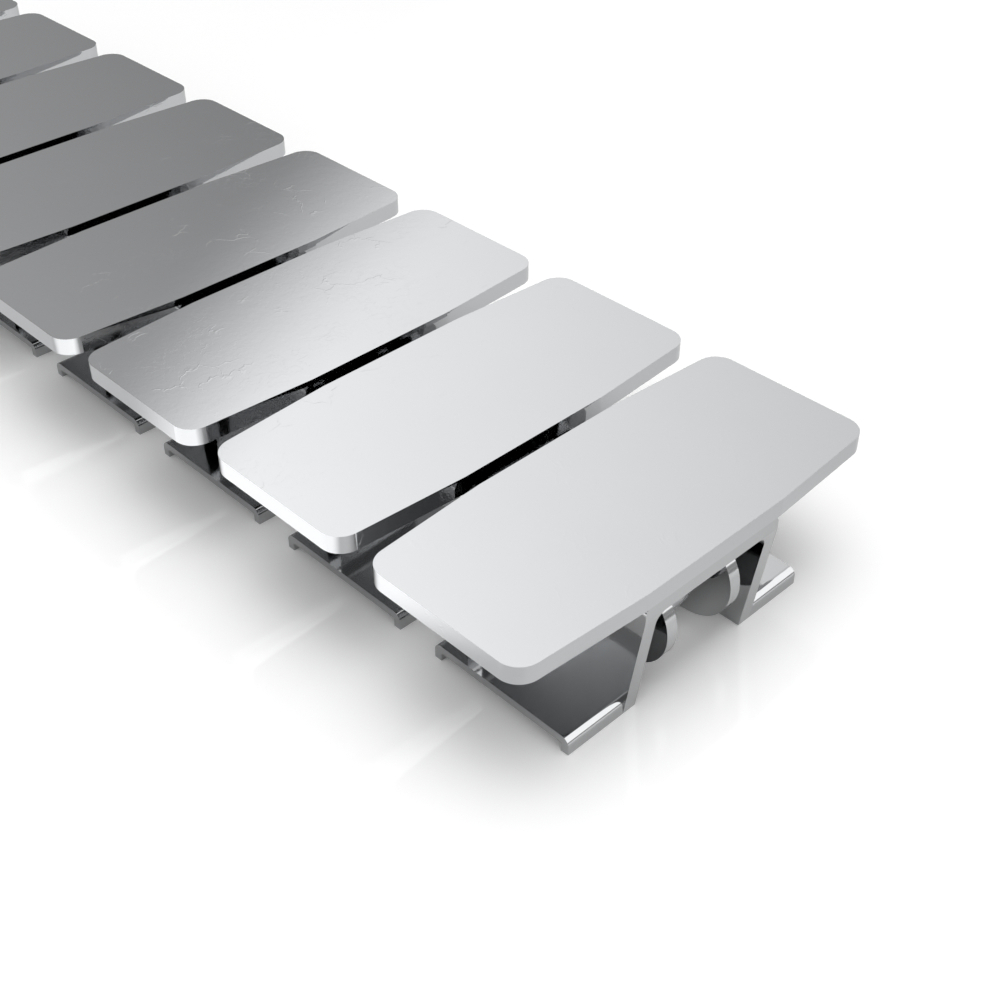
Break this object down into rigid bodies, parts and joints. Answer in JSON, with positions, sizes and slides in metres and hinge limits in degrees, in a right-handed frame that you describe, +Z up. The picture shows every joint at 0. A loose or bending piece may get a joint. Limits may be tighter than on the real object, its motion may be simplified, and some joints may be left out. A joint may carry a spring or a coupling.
{
  "type": "slat top chain",
  "caption": "Side-flexing slat top conveyor chain: flat steel top plates on formed tab brackets, linked by pins and crowned bushes.",
  "frame": {"origin": "under the middle of the chain's length, on the surface that the tabs stand on", "axes": "+X along the chain towards its leading link, +Y to the left, +Z up out of the carrying surface"},
  "size_m": [0.322, 0.0808, 0.027],
  "materials": {
    "polished_steel": "polished",
    "hardened_steel": "ground"
  },
  "bodies": {
    "link_1": {"top_plate_1": "polished_steel", "tab_bracket_1": "polished_steel", "left_side_plate_1": "polished_steel", "right_side_plate_1": "polished_steel", "rear_tongue_1": "polished_steel", "hinge_pin_1": "hardened_steel"},
    "bush_1": {"crowned_bush_1": "hardened_steel"},
    "link_2": {"top_plate_2": "polished_steel", "tab_bracket_2": "polished_steel", "left_side_plate_2": "polished_steel", "right_side_plate_2": "polished_steel", "rear_tongue_2": "polished_steel", "hinge_pin_2": "hardened_steel"},
    "bush_2": {"crowned_bush_2": "hardened_steel"},
    "link_3": {"top_plate_3": "polished_steel", "tab_bracket_3": "polished_steel", "left_side_plate_3": "polished_steel", "right_side_plate_3": "polished_steel", "rear_tongue_3": "polished_steel", "hinge_pin_3": "hardened_steel"},
    "bush_3": {"crowned_bush_3": "hardened_steel"},
    "link_4": {"top_plate_4": "polished_steel", "tab_bracket_4": "polished_steel", "left_side_plate_4": "polished_steel", "right_side_plate_4": "polished_steel", "rear_tongue_4": "polished_steel", "hinge_pin_4": "hardened_steel"},
    "bush_4": {"crowned_bush_4": "hardened_steel"},
    "link_5": {"top_plate_5": "polished_steel", "tab_bracket_5": "polished_steel", "left_side_plate_5": "polished_steel", "right_side_plate_5": "polished_steel", "rear_tongue_5": "polished_steel", "hinge_pin_5": "hardened_steel"},
    "bush_5": {"crowned_bush_5": "hardened_steel"},
    "link_6": {"top_plate_6": "polished_steel", "tab_bracket_6": "polished_steel", "left_side_plate_6": "polished_steel", "right_side_plate_6": "polished_steel", "rear_tongue_6": "polished_steel", "hinge_pin_6": "hardened_steel"},
    "bush_6": {"crowned_bush_6": "hardened_steel"},
    "link_7": {"top_plate_7": "polished_steel", "tab_bracket_7": "polished_steel", "left_side_plate_7": "polished_steel", "right_side_plate_7": "polished_steel", "rear_tongue_7": "polished_steel", "hinge_pin_7": "hardened_steel"},
    "bush_7": {"crowned_bush_7": "hardened_steel"},
    "link_8": {"top_plate_8": "polished_steel", "tab_bracket_8": "polished_steel", "left_side_plate_8": "polished_steel", "right_side_plate_8": "polished_steel", "rear_tongue_8": "polished_steel", "hinge_pin_8": "hardened_steel"},
    "bush_8": {"crowned_bush_8": "hardened_steel"}
  },
  "joints": [
    {"name": "bush_spin_1", "type": "hinge", "parent": "link_1", "child": "bush_1", "pos_m": [0.1511, 0, 0.01225], "axis": [0, 1, 0], "continuous": true},
    {"name": "side_flex_2", "type": "hinge", "parent": "link_1", "child": "bush_2", "pos_m": [0.113, 0, 0.01225], "axis": [0, 0, 1], "range_deg": [-5, 5]},
    {"name": "pivot_2", "type": "hinge", "parent": "bush_2", "child": "link_2", "pos_m": [0.113, 0, 0.01225], "axis": [0, -1, 0], "range_deg": [-5, 34]},
    {"name": "side_flex_3", "type": "hinge", "parent": "link_2", "child": "bush_3", "pos_m": [0.0749, 0, 0.01225], "axis": [0, 0, 1], "range_deg": [-5, 5]},
    {"name": "pivot_3", "type": "hinge", "parent": "bush_3", "child": "link_3", "pos_m": [0.0749, 0, 0.01225], "axis": [0, -1, 0], "range_deg": [-5, 34]},
    {"name": "side_flex_4", "type": "hinge", "parent": "link_3", "child": "bush_4", "pos_m": [0.0368, 0, 0.01225], "axis": [0, 0, 1], "range_deg": [-5, 5]},
    {"name": "pivot_4", "type": "hinge", "parent": "bush_4", "child": "link_4", "pos_m": [0.0368, 0, 0.01225], "axis": [0, -1, 0], "range_deg": [-5, 34]},
    {"name": "side_flex_5", "type": "hinge", "parent": "link_4", "child": "bush_5", "pos_m": [-0.0013, 0, 0.01225], "axis": [0, 0, 1], "range_deg": [-5, 5]},
    {"name": "pivot_5", "type": "hinge", "parent": "bush_5", "child": "link_5", "pos_m": [-0.0013, 0, 0.01225], "axis": [0, -1, 0], "range_deg": [-5, 34]},
    {"name": "side_flex_6", "type": "hinge", "parent": "link_5", "child": "bush_6", "pos_m": [-0.0394, 0, 0.01225], "axis": [0, 0, 1], "range_deg": [-5, 5]},
    {"name": "pivot_6", "type": "hinge", "parent": "bush_6", "child": "link_6", "pos_m": [-0.0394, 0, 0.01225], "axis": [0, -1, 0], "range_deg": [-5, 34]},
    {"name": "side_flex_7", "type": "hinge", "parent": "link_6", "child": "bush_7", "pos_m": [-0.0775, 0, 0.01225], "axis": [0, 0, 1], "range_deg": [-5, 5]},
    {"name": "pivot_7", "type": "hinge", "parent": "bush_7", "child": "link_7", "pos_m": [-0.0775, 0, 0.01225], "axis": [0, -1, 0], "range_deg": [-5, 34]},
    {"name": "side_flex_8", "type": "hinge", "parent": "link_7", "child": "bush_8", "pos_m": [-0.1156, 0, 0.01225], "axis": [0, 0, 1], "range_deg": [-5, 5]},
    {"name": "pivot_8", "type": "hinge", "parent": "bush_8", "child": "link_8", "pos_m": [-0.1156, 0, 0.01225], "axis": [0, -1, 0], "range_deg": [-5, 34]}
  ]
}
